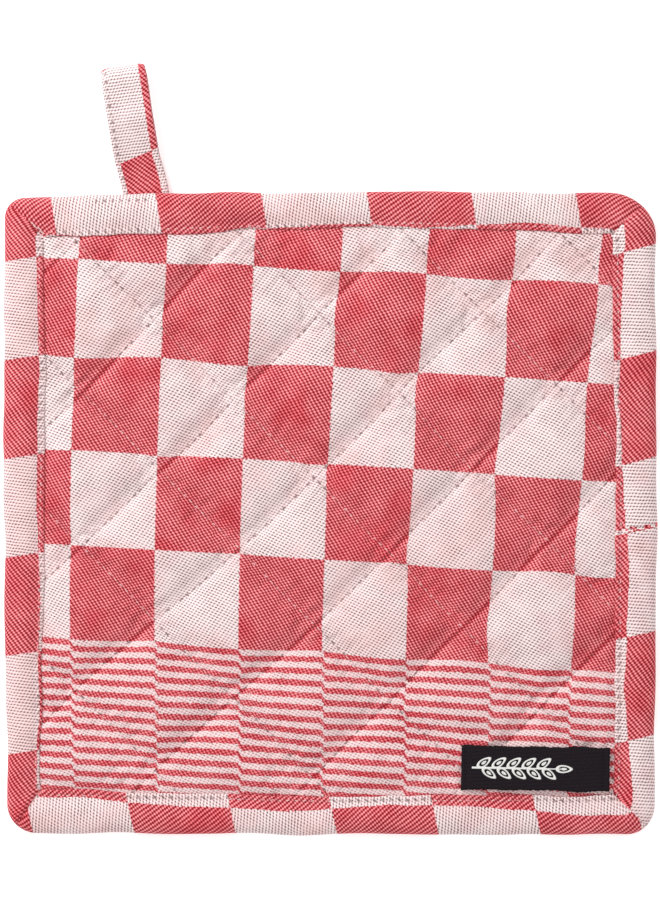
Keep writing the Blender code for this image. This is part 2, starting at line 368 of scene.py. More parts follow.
def checkedCotton(name, check, waves, seams, slant=0.0, striped=False, pinkShadeSide=False):
    material, tree, shader = newMaterial(name, cloth["roughness"], cloth["gloss"])
    shader.inputs["Sheen Weight"].default_value = cloth["sheen"]
    vector, u, v = uvParts(tree, "cloth")
    place = tree.nodes.new("ShaderNodeTexCoord").outputs["Object"]
    width, height = check

    ragged = unevenness(tree, vector, cloth["raggedScale"])
    across = scaled(tree, ragged, cloth["raggedness"] / width, u)
    down = scaled(tree, ragged, -cloth["raggedness"] / height, v)
    if striped:
        below = maths(tree, "MAXIMUM", maths(tree, "SUBTRACT", down, cloth["stripesFrom"]), 0.0)
        down = scaled(tree, below, height / cloth["stripeHeight"] - 1, down)
        isStriped = maths(tree, "GREATER_THAN", below, 0.0)
        slantedEnd = times(tree, maths(tree, "FRACT", down), cloth["stripeSlant"] / width)
        across = maths(tree, "SUBTRACT", across, times(tree, isStriped, slantedEnd))
    whole = maths(tree, "ADD", maths(tree, "FLOOR", across), maths(tree, "FLOOR", down))
    isRed = maths(tree, "GREATER_THAN", maths(tree, "FRACT", times(tree, whole, 0.5)), 0.25)
    isWhite = maths(tree, "SUBTRACT", 1.0, isRed)

    drift = unevenness(tree, vector, cloth["driftScale"])
    x = scaled(tree, drift, cloth["drift"], times(tree, u, width))
    y = times(tree, v, height)
    floats = maths(tree, "ADD", *[wave(tree, x, y, isWhite, *pair) for pair in waves])
    yarnNoise = times(tree, unevenness(tree, vector, cloth["yarnScale"], 1.0), cloth["unevenYarn"])
    clothNoise = unevenness(tree, place, cloth["clothScale"])
    uneven = scaled(tree, clothNoise, cloth["unevenCloth"], yarnNoise)
    pink = rangeOf(tree, noiseOn(tree, place, cloth["blushScale"]), *cloth["blushFrom"])
    deep = rangeOf(tree, noiseOn(tree, place, cloth["deepScale"], 1.0), *cloth["deepFrom"])
    if striped:
        # the narrow stripes are woven closer, so their floats stand out less
        floats = times(tree, floats, scaled(tree, isStriped, cloth["stripedRelief"] - 1, 1.0))
        _, fromLine, _ = uvParts(tree, "rising")
        # painted highlight beside the rising lines, partly floats drawn flat
        rise, fall = cloth["flatHighlightSpan"]
        flatHighlight = times(tree, rangeOf(tree, fromLine, *rise), rangeOf(tree, fromLine, *fall))
        # painted shade at the rising lines: the red darkened in the crease and deepened within 0.8 mm of
        # the line
        creaseShade = times(tree, rangeOf(tree, fromLine, *cloth["creaseShadeSpan"]), isRed)
        uneven = scaled(tree, flatHighlight, cloth["flatFloatHighlight"], uneven)
        uneven = scaled(tree, creaseShade, -cloth["creaseShade"], uneven)
        pink = maths(tree, "MAXIMUM", pink, times(tree, isStriped, cloth["stripedBlush"]))
        deep = maths(tree, "MAXIMUM", deep, rangeOf(tree, fromLine, *cloth["shadedRedSpan"]))
    # painted shade: the tape's left side is made pinker and darker, as if it lies in slight shade
    if pinkShadeSide:
        parts = tree.nodes.new("ShaderNodeSeparateXYZ")
        tree.links.new(place, parts.inputs[0])
        left = rangeOf(tree, parts.outputs[0], *[limit * mm for limit in cloth["leftShadeRange"]])
        below = rangeOf(tree, parts.outputs[1], *[limit * mm for limit in cloth["pinkBelow"]])
        pink = times(tree, maths(tree, "ADD", pink, left), below)
    relief = maths(tree, "ADD", scaled(tree, floats, 0.5, 0.5), uneven)

    # the weave's colours: partly the yarns' own, partly painted shade in the gaps between floats
    red = mixColour(tree, deep, colourRamp(tree, relief, cloth["redYarnAndGapShade"]), cloth["deepRed"], "MULTIPLY")
    white = mixColour(tree, pink, colourRamp(tree, relief, cloth["whiteYarnAndGapShade"]), cloth["blush"], "MULTIPLY")
    colour = mixColour(tree, isRed, white, red)
    shows = scaled(tree, isWhite, 1 - cloth["holesInRed"], cloth["holesInRed"])
    faintest, darkest = cloth["holesShown"]
    # painted shade: each needle hole is darkened for the shadow where the thread goes down
    for seam in seams:
        hole = times(tree, needleHoles(tree, seam, slant), shows)
        leastShown = faintest + cloth["slantShown"] * slant
        deepness = noiseOn(tree, place, cloth["holeScale"], 0.0)
        deepness = rangeOf(tree, deepness, *cloth["holesFrom"], leastShown, darkest)
        colour = mixColour(tree, times(tree, hole, deepness), colour, cloth["holeShadeColour"])
    feed(tree, shader.inputs["Base Color"], colour)
    bumpInto(tree, shader, relief, cloth["relief"])
    return material


padCotton = checkedCotton(
    "padCotton", cloth["padCheck"], cloth["padWaves"], ("rising", "falling"), striped=True
)
tapeCotton = checkedCotton(
    "tapeCotton", cloth["tapeCheck"], cloth["tapeWaves"], ("rising",), cloth["tapeHoleSlant"], pinkShadeSide=True
)

yarn = {
    "white": (0.84, 0.62, 0.61),
    "pale": (0.80, 0.79, 0.76),
    "darker": 0.72,
    "grain": 4000.0,
    "relief": 0.05,
    "roughness": 0.8,
    "gloss": 0.15,
}


def yarnMaterial(name, colour):
    material, tree, shader = newMaterial(name, yarn["roughness"], yarn["gloss"])
    place = tree.nodes.new("ShaderNodeTexCoord").outputs["Object"]
    grain = noiseOn(tree, place, yarn["grain"], 1.0)
    darker = tuple(part * yarn["darker"] for part in colour)
    feed(tree, shader.inputs["Base Color"], mixColour(tree, grain, darker, colour))
    bumpInto(tree, shader, grain, yarn["relief"])
    return material


whiteThread = yarnMaterial("whiteThread", yarn["white"])
paleYarn = yarnMaterial("paleYarn", yarn["pale"])

ribbon = {
    "rib": 0.42,  # from one cross rib to the next
    "ribHeight": 0.3,
    "floats": (13.0, 2.4),  # how closely the grey floats lie along and across
    "floatHeight": 0.2,
    "unevenScale": 3.5,
    "yarn": ((0.25, (0.004, 0.003, 0.004)), (0.6, (0.011, 0.007, 0.010)), (1.0, (0.035, 0.026, 0.032))),
    "relief": 0.12,
    "roughness": 0.75,
    "gloss": 0.08,
}


def ribbonWeave():
    # black satin ribbon: fine cross ribs with a few grey floats
    material, tree, shader = newMaterial("blackWeave", ribbon["roughness"], ribbon["gloss"])
    vector, along, across = uvParts(tree, "cloth")
    ribs = maths(tree, "SINE", times(tree, across, 2 * math.pi / ribbon["rib"]))
    phase = scaled(tree, across, ribbon["floats"][1], times(tree, along, ribbon["floats"][0]))
    floats = times(tree, maths(tree, "SINE", phase), ribbon["floatHeight"])
    yarns = scaled(tree, ribs, ribbon["ribHeight"], floats)
    relief = maths(tree, "ADD", yarns, noiseOn(tree, vector, ribbon["unevenScale"]))
    feed(tree, shader.inputs["Base Color"], colourRamp(tree, relief, ribbon["yarn"]))
    bumpInto(tree, shader, relief, ribbon["relief"])
    return material


blackWeave = ribbonWeave()
print("materials ready")


# the bound edge, as rings of points round the pad

edge = {
    # clockwise. Columns: outer x, outer y, outer radius, x and y of the tape's inner edge, its radius.
    "knots": (
        (-100.0, 96.6, 6.0, -88.2, 85.0, 2.5),  # top left corner
        (-57.0, 97.9, 0.0, -57.0, 85.4, 0.0),  # over the loop
        (10.0, 98.6, 0.0, 10.0, 88.0, 0.0),
        (100.0, 98.3, 14.0, 86.8, 86.0, 2.5),  # top right corner
        (100.2, 0.0, 0.0, 88.0, 0.0, 0.0),
        (99.8, -98.6, 9.0, 87.4, -86.8, 2.5),  # bottom right corner
        (0.0, -98.8, 0.0, 0.0, -87.2, 0.0),
        (-98.8, -98.4, 9.0, -89.4, -85.2, 2.5),  # bottom left corner
        (-100.3, 10.0, 0.0, -87.4, 14.0, 0.0),
    ),
    "step": 0.8,
    "cornerSteps": 18,
    "liftHeight": 3.4,  # the loop's two legs lie under the edge there
    "liftFlat": 9.5,
    "liftRun": 30.0,
    "liftDepth": 14.0,
}
sideNames = ("top", "right", "bottom", "left")
sideNormals = (Vector((0, 1)), Vector((1, 0)), Vector((0, -1)), Vector((-1, 0)))


def roundCorner(before, corner, after, radius):
    if radius == 0:
        return [corner]
    back = (before - corner).normalized()
    onward = (after - corner).normalized()
    halfAngle = back.angle(onward) / 2
    centre = corner + (back + onward).normalized() * radius / math.sin(halfAngle)
    start = (corner + back * radius / math.tan(halfAngle) - centre).normalized()
    end = (corner + onward * radius / math.tan(halfAngle) - centre).normalized()
    steps = edge["cornerSteps"]
    return [centre + start.slerp(end, step / steps) * radius for step in range(steps + 1)]


def edgeRing(column):
    # the outer edge (column 0) or the tape's inner edge (column 3), and the side that each point is on
    knots = [Vector(row[column : column + 2]) for row in edge["knots"]]
    outer = [Vector(row[:2]) for row in edge["knots"]]
    turns = []
    for index, row in enumerate(edge["knots"]):
        after = knots[(index + 1) % len(knots)]
        turns.append(roundCorner(knots[index - 1], knots[index], after, row[column + 2]))
    points, sides, side = [], [], sideNames.index("left")
    for index, turn in enumerate(turns):
        following = (index + 1) % len(knots)
        for step, point in enumerate(turn):
            if len(turn) > 1 and step == len(turn) // 2:
                side = (side + 1) % 4
            points.append(point)
            sides.append(side)
        steps = round((outer[following] - outer[index]).length / edge["step"])
        for step in range(1, steps):
            points.append(turn[-1].lerp(turns[following][0], step / steps))
            sides.append(side)
    return points, sides


outerRing, ringSides = edgeRing(0)
innerRing, _ = edgeRing(3)
ringTree = KDTree(len(innerRing))
for index, point in enumerate(innerRing):
    ringTree.insert((*point, 0.0), index)
ringTree.balance()


def insideTape(x, y):
    # distance from the tape's inner edge towards the middle, below 0 under the tape
    _, index, distance = ringTree.find((x, y, 0.0))
    inward = innerRing[index] - outerRing[index]
    offset = Vector((x, y)) - innerRing[index]
    return math.copysign(distance, offset.dot(inward))


def lift(x, y):
    sideways = abs(x - loop["base"][0]) - edge["liftFlat"]
    inwards = loop["base"][1] - edge["liftDepth"] - y
    run = edge["liftRun"]
    return edge["liftHeight"] * smooth(1 - sideways / run) * smooth(1 - inwards / run)


# the quilted pad: a face cloth blown up between its stitch lines, and a flat back

pad = {
    # stitch lines at 45 degrees: distance from the centre, and how far each strays at its lower left end
    "risingLines": (
        (-113.7, 0.0),
        (-80.1, 0.0),
        (-45.3, -2.8),
        (-10.8, -6.0),
        (21.5, -3.6),
        (53.6, 0.0),
        (88.0, 0.0),
    ),
    "fallingLines": tuple((line, 0.0) for line in (-93.7, -61.2, -27.6, 3.9, 40.8, 77.0, 110.6)),
    "unsteady": 1.0,  # how much the sewn lines waver, and over what length
    "unsteadyRun": 28.0,
    "strayFrom": 10.0,
    "strayRun": 90.0,
    "reach": 141.0,
    "cell": 1.4,
    "halfSize": 100.0,
    "underTape": 7.5,  # how far the cloth reaches under the tape
    "heldFrom": 0.6,
    "atTape": 4.0,
    "atStitch": 3.3,
    "rimRun": 9.0,
    "crown": 7.6,
    "slack": 0.05,
    "simScale": 10.0,
    "pressure": 60.0,
    "frames": 24,
    "cotton": {
        "quality": 5,
        "mass": 0.15,
        "air_damping": 4.0,
        "tension_stiffness": 15.0,
        "compression_stiffness": 8.0,
        "shear_stiffness": 5.0,
        "bending_stiffness": 0.4,
    },
    "freeRun": 2.5,  # how far from the tape the soft creases start
    "valleyFill": (0.35, 0.3),  # how much rounder the valleys are at the rising and at the falling lines
    "valleyWidth": 1.5,
    "shoulder": 0.1,  # how much fuller the cloth stands before a rising line, where, and how wide
    "shoulderAt": -5.2,
    "shoulderWidth": 3.0,
    "valleyTilt": (0.2, 0.0),  # how much lower the cloth lies before a line than past it
    "valleyReach": 1.7,
    "pucker": 0.18,
    "puckerReach": 2.5,
    "puckerPitch": 3.9,
    "ripple": 0.22,
    "roll": 0.35,
    "backGroove": 0.8,
    "grooveWidth": 3.0,
    "backAtTape": 1.5,
    "backRimFrom": 0.2,
    "backRimRun": 2.2,
    "roundness": 0.6,  # of the face's last subdivision
}

# the check's columns and rows across the pad, in checks per 100 mm, with their lean, fan and bow
pattern = {
    "columns": {"start": 3.052, "x": 3.851, "y": -0.150, "xy": -0.126, "xx": 0.016, "yy": -0.091},
    "rows": {"start": 2.509, "x": -0.200, "y": -3.424, "xy": 0.051, "xx": -0.019, "yy": 0.072},
}


def patternAt(terms, x, y):
    x, y = x / 100, y / 100
    value = terms["start"] + terms["x"] * x + terms["y"] * y
    return value + terms["xy"] * x * y + terms["xx"] * x * x + terms["yy"] * y * y


def cutLines(lines):
    # every cut of the pad's grid: distance, stray, and whether it is a stitch line
    stops = [(-pad["reach"], 0.0), *lines, (pad["reach"], 0.0)]
    cuts = [(*stops[0], False)]
    for (near, nearStray), (far, farStray) in zip(stops, stops[1:]):
        count = round((far - near) / pad["cell"])
        for step in range(1, count + 1):
            share = step / count
            stray = nearStray + (farStray - nearStray) * share
            cuts.append((near + (far - near) * share, stray, step == count))
    cuts[-1] = (*cuts[-1][:2], False)
    return cuts


def strayShare(falling):
    return smooth((-falling - pad["strayFrom"]) / pad["strayRun"])


def padHeight(x, y, room):
    # the height at which the cloth is sewn down, or held by the tape
    return pad["atTape"] + (pad["atStitch"] - pad["atTape"]) * smooth(room / pad["rimRun"]) + lift(x, y)


def nearestLine(lines, away, along):
    # signed distance to the nearest line of one set, from a point at that distance and place along it
    strays = strayShare(along)
    return min((away - line - stray * strays for line, stray in lines), key=abs)


def turned(x, y):
    # distance square to the rising lines, and square to the falling ones, which waver as sewn lines do
    away, along = (x - y) / math.sqrt(2), (x + y) / math.sqrt(2)
    run = pad["unsteadyRun"]
    return away + pad["unsteady"] * waver(x, y, run, 1), along + pad["unsteady"] * waver(x, y, run, 2)


def unturned(away, along):
    # the place that has these two distances
    x, y = 0.0, 0.0
    shiftAway, shiftAlong = 0.0, 0.0
    for _ in range(4):
        x = (away - shiftAway + along - shiftAlong) / math.sqrt(2)
        y = (along - shiftAlong - away + shiftAway) / math.sqrt(2)
        shiftAway = pad["unsteady"] * waver(x, y, pad["unsteadyRun"], 1)
        shiftAlong = pad["unsteady"] * waver(x, y, pad["unsteadyRun"], 2)
    return x, y


def seamsNear(x, y):
    # signed distance to the nearest rising line and the place along it, then the same for the falling ones
    away, along = turned(x, y)
    rising = nearestLine(pad["risingLines"], away, along), along
    return rising, (nearestLine(pad["fallingLines"], along, away), away)


def makeFlatPad():
    rising, falling = cutLines(pad["risingLines"]), cutLines(pad["fallingLines"])
    columns, rows = len(rising) - 1, len(falling) - 1
    piece = newGrid("quiltedPad", columns, rows)
    mesh = piece.data
    sewn, gone = [], set()
    for vertex in mesh.vertices:
        column, row = gridPlace(vertex, columns, rows)
        along = falling[row][0]
        away = rising[column][0] + rising[column][1] * strayShare(along)
        x, y = unturned(away, along)
        room = insideTape(x, y)
        if room < -pad["underTape"] or max(abs(x), abs(y)) > pad["halfSize"]:
            gone.add(vertex.index)
        elif room < pad["heldFrom"] or rising[column][2] or falling[row][2]:
            sewn.append(vertex.index)
        vertex.co = (x * mm, y * mm, padHeight(x, y, room) * mm)
    piece.vertex_groups.new(name="sewn").add(sewn, 1.0, "REPLACE")

    maps = [mesh.uv_layers["cloth"], mesh.uv_layers.new(name="rising"), mesh.uv_layers.new(name="falling")]
    places = []
    for vertex in mesh.vertices:
        x, y = vertex.co.x / mm, vertex.co.y / mm
        check = patternAt(pattern["columns"], x, y), patternAt(pattern["rows"], x, y)
        places.append((check, *[(abs(distance), along) for distance, along in seamsNear(x, y)]))
    for corner in mesh.loops:
        for uvMap, place in zip(maps, places[corner.vertex_index]):
            uvMap.data[corner.index].uv = place

    activate(piece)
    goTo("EDIT")
    selectAll("DESELECT")
    goTo("OBJECT")
    for vertex in mesh.vertices:
        vertex.select = vertex.index in gone
    goTo("EDIT")
    bpy.ops.mesh.delete(type="VERT")
    goTo("OBJECT")
    return piece


def blowUp(piece):
    # the cloth simulation: air lifts the slack cloth between the lines that hold it
    size = pad["simScale"]
    for vertex in piece.data.vertices:
        vertex.co *= size
    modifier = piece.modifiers.new("cloth", "CLOTH")
    settings = modifier.settings
    for name, value in pad["cotton"].items():
        setattr(settings, name, value)
    settings.vertex_group_mass = "sewn"
    settings.shrink_min = -pad["slack"]
    settings.use_pressure = True
    settings.uniform_pressure_force = pad["pressure"]
    settings.effector_weights.gravity = 0.0
    modifier.collision_settings.use_collision = False
    modifier.collision_settings.use_self_collision = False
    scene = bpy.context.scene
    for number in range(1, pad["frames"] + 1):
        scene.frame_set(number)
    activate(piece)
    bpy.ops.object.modifier_apply(modifier="cloth")
    scene.frame_set(1)
    for vertex in piece.data.vertices:
        vertex.co /= size


def labelDistance(x, y):
    offset = Vector((x, y)) - Vector(label["centre"])
    along = Vector((math.cos(math.radians(label["tilt"])), math.sin(math.radians(label["tilt"]))))
    beyondLength = max(0.0, abs(offset.dot(along)) - label["size"][0] / 2)
    beyondWidth = max(0.0, abs(offset.dot(along.orthogonal())) - label["size"][1] / 2)
    return math.hypot(beyondLength, beyondWidth)


def settle(x, y, height, swelling):
    # a point of the face after the blowing up: its crown set right, stitches pulled in, soft creases added
    room = insideTape(x, y)
    held = padHeight(x, y, room)
    height = held + (height - held) * swelling
    free = smooth(room / pad["freeRun"])
    seams = seamsNear(x, y)
    for (distance, place), fill, tilt in zip(seams, pad["valleyFill"], pad["valleyTilt"]):
        height += free * fill * math.exp(-((distance / pad["valleyWidth"]) ** 2))
        share = distance / pad["valleyReach"]
        height += free * tilt * share * math.exp((1 - share * share) / 2)
        pucker = math.cos(2 * math.pi * place / pad["puckerPitch"] + 6 * waver(x, y, 14, 3))
        pucker *= 0.5 + waver(x, y, 18, 8)
        reach = abs(distance) / pad["puckerReach"]
        height += free * pad["pucker"] * pucker * reach * math.exp(1 - reach)
    offShoulder = seams[0][0] - pad["shoulderAt"]
    height += free * pad["shoulder"] * math.exp(-((offShoulder / pad["shoulderWidth"]) ** 2))
    height += free * (pad["ripple"] * waver(x, y, 8) + pad["roll"] * waver(x, y, 24, 5))
    bedded = smooth((labelDistance(x, y) - label["bedFlat"]) / label["bedRun"])
    return min(height, label["bed"]) * (1 - bedded) + height * bedded


def backHeight(x, y):
    nearest = min(abs(distance) for distance, _ in seamsNear(x, y))
    room = insideTape(x, y)
    groove = pad["backGroove"] * (1 - smooth(nearest / pad["grooveWidth"]))
    atRim = pad["backAtTape"] * (1 - smooth((room + pad["backRimFrom"]) / pad["backRimRun"]))
    return max(groove, atRim) + lift(x, y)


def makePad():
    face = makeFlatPad()
    bpy.ops.object.duplicate()
    back = bpy.context.object
    for vertex in back.data.vertices:
        vertex.co.z = backHeight(vertex.co.x / mm, vertex.co.y / mm) * mm
    blowUp(face)
    crown = max(vertex.co.z for vertex in face.data.vertices) / mm
    swelling = (pad["crown"] - pad["atStitch"]) / max(crown - pad["atStitch"], 1.0)

    faceCount = len(face.data.polygons)
    activate(back)
    goTo("EDIT")
    selectAll("SELECT")
    bpy.ops.mesh.flip_normals()
    goTo("OBJECT")
    activate(face)
    back.select_set(True)
    bpy.ops.object.join()
    mesh = face.data
    goTo("EDIT")
    selectAll("DESELECT")
    bpy.ops.mesh.select_mode(type="EDGE")
    bpy.ops.mesh.select_non_manifold(
        extend=False, use_wire=False, use_multi_face=False, use_non_contiguous=False, use_verts=False
    )
    bpy.ops.mesh.bridge_edge_loops()
    bpy.ops.mesh.select_mode(type="FACE")
    selectAll("DESELECT")
    goTo("OBJECT")
    for polygon in mesh.polygons:
        polygon.select = polygon.index < faceCount
    goTo("EDIT")
    bpy.ops.mesh.subdivide(number_cuts=1, smoothness=pad["roundness"])
    goTo("OBJECT")
    onFace = {corner for polygon in mesh.polygons if polygon.select for corner in polygon.vertices}
    for index in onFace:
        place = mesh.vertices[index].co
        place.z = settle(place.x / mm, place.y / mm, place.z / mm, swelling) * mm
    bpy.ops.object.shade_smooth()
    print("pad", len(mesh.polygons), "faces, crown", round(crown, 2))
    return face


def surfaceOf(piece):
    # a function that gives the height of a piece's upper side, or lower side, at a place in millimetres
    points = [vertex.co for vertex in piece.data.vertices]
    tree = BVHTree.FromPolygons(points, [polygon.vertices for polygon in piece.data.polygons])

    def heightAt(x, y, below=False):
        start = Vector((x * mm, y * mm, -0.1 if below else 0.1))
        hit = tree.ray_cast(start, Vector((0, 0, 1 if below else -1)))[0]
        return hit.z / mm if hit else None

    return heightAt


# the tape that binds the edge

tape = {
    # the outer skin from the front's inner edge round the fold to the back's: place across, height
    "skin": (
        (0.995, 4.0), (1.015, 4.35), (0.99, 4.75), (0.93, 4.95), (0.865, 4.85), (0.77, 5.35), (0.60, 5.95),
        (0.42, 6.1), (0.25, 5.85), (0.11, 5.2), (0.03, 4.2), (0.00, 3.1), (0.02, 1.9), (0.08, 0.9),
        (0.17, 0.3), (0.30, 0.0), (0.55, 0.0), (0.76, 0.0), (0.84, 0.4), (0.93, 0.05), (1.00, 0.4),
        (0.985, 1.0),
    ),
    "lining": ((0.70, 1.2), (0.34, 1.25), (0.24, 1.8), (0.21, 3.0), (0.24, 4.1), (0.40, 4.5), (0.75, 4.3)),
    "width": 12.0,
    "seam": 1.9,  # from the inner edge, over the skin
    "bump": 0.3,
    "wander": 0.9,  # of its inner edge, and of the fold
    "foldWander": 0.8,
    "cornerThreads": ((-91.0, 88.6, -0.7), (-90.2, 87.6, -0.6), (-88.8, 86.9, -0.75), (-88.3, 86.0, -0.5)),
    "loopRow": (-74.0, -54.5, 11.2),  # the row that holds the loop: from x, to x, place over the skin
    "mitreDepth": 1.1,
    "mitreWidth": 0.75,
    "mitreStep": 0.7,  # how much higher the side that lies over stands
    "mitreEdge": 0.6,  # how soft its edge is, and how fast it falls back
    "mitreRun": 2.6,
    "mitreReach": (25.0, 6.0),  # how far a mitre is worked out, along it and away from it
    "mitreFull": 4.0,  # the height from which it is full
    "joinDepth": 0.35,
    "joinGroove": 0.7,
    "joinBeyond": 80.0,
    "joinAt": -3.7,
    "joinSlant": 2.2,
    "joinWidth": 0.75,  # how wide the other colour shows in it, and from how far over the skin
    "joinFrom": 2.6,
    # the checks along each run, clockwise. Columns: where they start, length of a check, slant, number of
    # the first check in the list, and how wide the other colour shows along the inner edge, check by check
    "runs": {
        "top": (-85.4, 32.2, 1.8, -1, (1.5, 0.5, 0.3, 1.8, 0.9, 3.2, 1.8)),
        "rightAbove": (-81.9, 32.5, 3.0, -1, (5.3, 3.4, 1.7, 3.5)),
        "rightBelow": (68.4, 31.9, 2.5, -3, (3.8, 5.0, 3.5, 6.5, 6.5)),
        "bottom": (-64.4, 31.2, 2.4, -1, (6.8, 4.2, 3.4, 5.5, 4.6, 3.0)),
        "left": (-74.2, 30.3, 1.7, -1, (1.5, 1.5, 1.7, 3.2, 2.8, 2.6, 3.2)),
    },
}


def smoothCurve(points, steps):
    # a Catmull-Rom curve through the points
    curve = []
    for index in range(len(points) - 1):
        a, b = points[max(index - 1, 0)], points[index]
        c, d = points[index + 1], points[min(index + 2, len(points) - 1)]
        for step in range(steps):
            t = step / steps
            squared = (2 * a - 5 * b + 4 * c - d) * t**2
            cubed = (3 * b - a - 3 * c + d) * t**3
            curve.append(0.5 * (2 * b + (c - a) * t + squared + cubed))
    return curve + [points[-1]]


def alongSide(side, x, y):
    # the distance along a side, growing clockwise
    return (x, -y, -x, y)[side]


def bandWidth(widths, first, checks):
    # how wide the other colour shows at this place, between the values of the nearest checks
    place = max(0.0, min(len(widths) - 1.001, checks - first - 0.5))
    index = int(place)
    return widths[index] + (widths[index + 1] - widths[index]) * (place - index)


def tapeRun(side, along, overSkin):
    # which run of checks a face belongs to, and 1 on the join, where the other colour shows
    if sideNames[side] != "right":
        return sideNames[side], 0
    joinPlace = -tape["joinAt"] + tape["joinSlant"] * (1 - overSkin / tape["width"])
    onJoin = abs(along - joinPlace) < tape["joinWidth"] / 2 and overSkin > tape["joinFrom"]
    return ("rightAbove" if along < joinPlace else "rightBelow"), int(onJoin)


def tapeChecks(run, along, overSkin):
    start, length, slant, first, widths = tape["runs"][run]
    checks = (along - start - slant * (1 - overSkin / tape["width"])) / length
    return checks, (overSkin - bandWidth(widths, first, checks)) / cloth["tapeCheck"][1]


def mitreLines():
    # a point of each corner's crease, where two sides meet, and its direction
    lines = []
    for index, side in enumerate(ringSides):
        if side != ringSides[index - 1]:
            lines.append((innerRing[index], (innerRing[index] - outerRing[index]).normalized()))
    return lines


def frontHeight(spot, place, height, creases):
    # the front of the tape over its plain section: soft bumps, the mitred corners and the join
    bumps = waver(spot.x, spot.y, 13, 1) + 0.6 * waver(spot.x, spot.y, 5, 4)
    height += tape["bump"] * math.sin(math.pi * clamp(place)) * bumps
    length, width = tape["mitreReach"]
    for crease, direction in creases:
        offset = spot - crease
        away = direction.x * offset.y - direction.y * offset.x
        if offset.length < length and abs(away) < width:
            share = min(1.0, height / tape["mitreFull"])
            height -= tape["mitreDepth"] * share * math.exp(-((away / tape["mitreWidth"]) ** 2))
            over = smooth((away / tape["mitreEdge"] + 1) / 2)
            height += tape["mitreStep"] * share * over * math.exp(-abs(away) / tape["mitreRun"])
    if spot.x > tape["joinBeyond"]:
        fromJoin = spot.y - tape["joinAt"] + tape["joinSlant"] * place
        height -= tape["joinDepth"] * math.exp(-((fromJoin / tape["joinGroove"]) ** 2))
    return height


def makeTape():
    skin = smoothCurve([Vector(row) for row in tape["skin"]], 2)
    section = skin + [Vector(row) for row in tape["lining"]]
    overSkin = [0.0]
    for before, after in zip(section, section[1:]):
        step = Vector(((after.x - before.x) * tape["width"], after.y - before.y))
        overSkin.append(overSkin[-1] + step.length)
    skinEnd = overSkin[len(skin) - 1]
    columns, rows = len(outerRing), len(section)
    piece = newGrid("edgeTape", columns, rows)
    mesh = piece.data
    creases = mitreLines()
    spots = [gridPlace(vertex, columns, rows) for vertex in mesh.vertices]
    for vertex, (column, row) in zip(mesh.vertices, spots):
        station, point = column % columns, row % rows
        place, height = section[point]
        outer, inner = outerRing[station], innerRing[station]
        wander = waver(inner.x, inner.y, 17, 2) + 0.5 * waver(inner.x, inner.y, 6, 3)
        wander *= tape["wander"] * clamp(place)
        wander += tape["foldWander"] * waver(outer.x, outer.y, 19, 6) * clamp(1 - place)
        spot = outer + (inner - outer) * place + (inner - outer).normalized() * wander
        if point < len(skin) / 2:
            height = frontHeight(spot, place, height, creases)
        vertex.co = (spot.x * mm, spot.y * mm, (height + lift(spot.x, spot.y)) * mm)

    maps = mesh.uv_layers["cloth"], mesh.uv_layers.new(name="rising")
    rowStart, rowEnd, rowPlace = tape["loopRow"]
    for polygon in mesh.polygons:
        side = ringSides[min(spots[corner][0] for corner in polygon.vertices) % columns]
        onFront = min(spots[corner][1] for corner in polygon.vertices) < len(skin) // 2 + 1
        places = []
        for corner in polygon.loop_indices:
            index = mesh.loops[corner].vertex_index
            column, row = spots[index][0] % columns, spots[index][1]
            x, y = mesh.vertices[index].co.x / mm, mesh.vertices[index].co.y / mm
            over = overSkin[row % rows]
            # the weave stays straight into the corners: across the tape it is measured square to the side
            slantwise = (outerRing[column] - innerRing[column]).dot(sideNormals[side]) / tape["width"]
            shift = tape["width"] * (1 - section[row % rows][0]) * (slantwise - 1)
            places.append((corner, alongSide(side, x, y), over, over + (shift if onFront else -shift)))
        middleAlong = sum(place[1] for place in places) / len(places)
        run, flip = tapeRun(side, middleAlong, sum(place[2] for place in places) / len(places))
        for corner, along, over, squareOver in places:
            u, v = tapeChecks(run, along, squareOver)
            maps[0].data[corner].uv = u + flip, v
            seam = min(over - tape["seam"], skinEnd - tape["seam"] - over)
            if side == 0 and rowStart < along < rowEnd and over > rowPlace / 2:
                seam = min(abs(over - rowPlace), seam)
            maps[1].data[corner].uv = seam, along
    closeUp(piece)
    print("tape", len(mesh.polygons), "faces, skin", round(skinEnd, 1))
    return piece


# the loop: the same tape folded lengthways, standing past the edge and leaning to the left

loop = {
    "base": (-57.7, 98.0),  # where its middle crosses the outer edge
    "lean": 8.8,
    "width": 14.0,
    "tape": 1.4,
    "reach": 39.8,
    "tuck": 11.0,
    "endRadius": 3.5,
    "rise": (3.0, 27.0),
    "gap": 0.3,
    "steps": (60, 24, 70),  # along the near leg, round the turn and along the leg that comes back
    "flare": 1.2,  # how far it bends to the right at its foot, and up to where
    "flareRun": 14.0,
    "leafSteps": 12,
    "foldEdge": 0.35,  # how far the fold and the slit are rounded
    "slitEdge": 0.45,
    "slit": ((0.1, 0.42), (0.0, 0.28), (0.12, 0.1)),
    "slitDepth": 0.75,
    "boundary": (10.1, 13.5),  # where the red check ends, at its left and its right edge
    "check": 30.0,
    "foldShown": 2.1,
    "underShown": 1.3,
    "seam": 1.3,
    "insideAt": 9.0,
    "freeRuns": (20.0, 25.0),  # how far from its sewn ends it starts to sway
    "gather": 0.16,  # how far its sewn edge waves, how long one wave is, and how far in it reaches
    "gatherPitch": 2.7,
    "gatherWidth": 4.5,
    "roundTip": 1.1,
    "tipRun": 9.0,
}


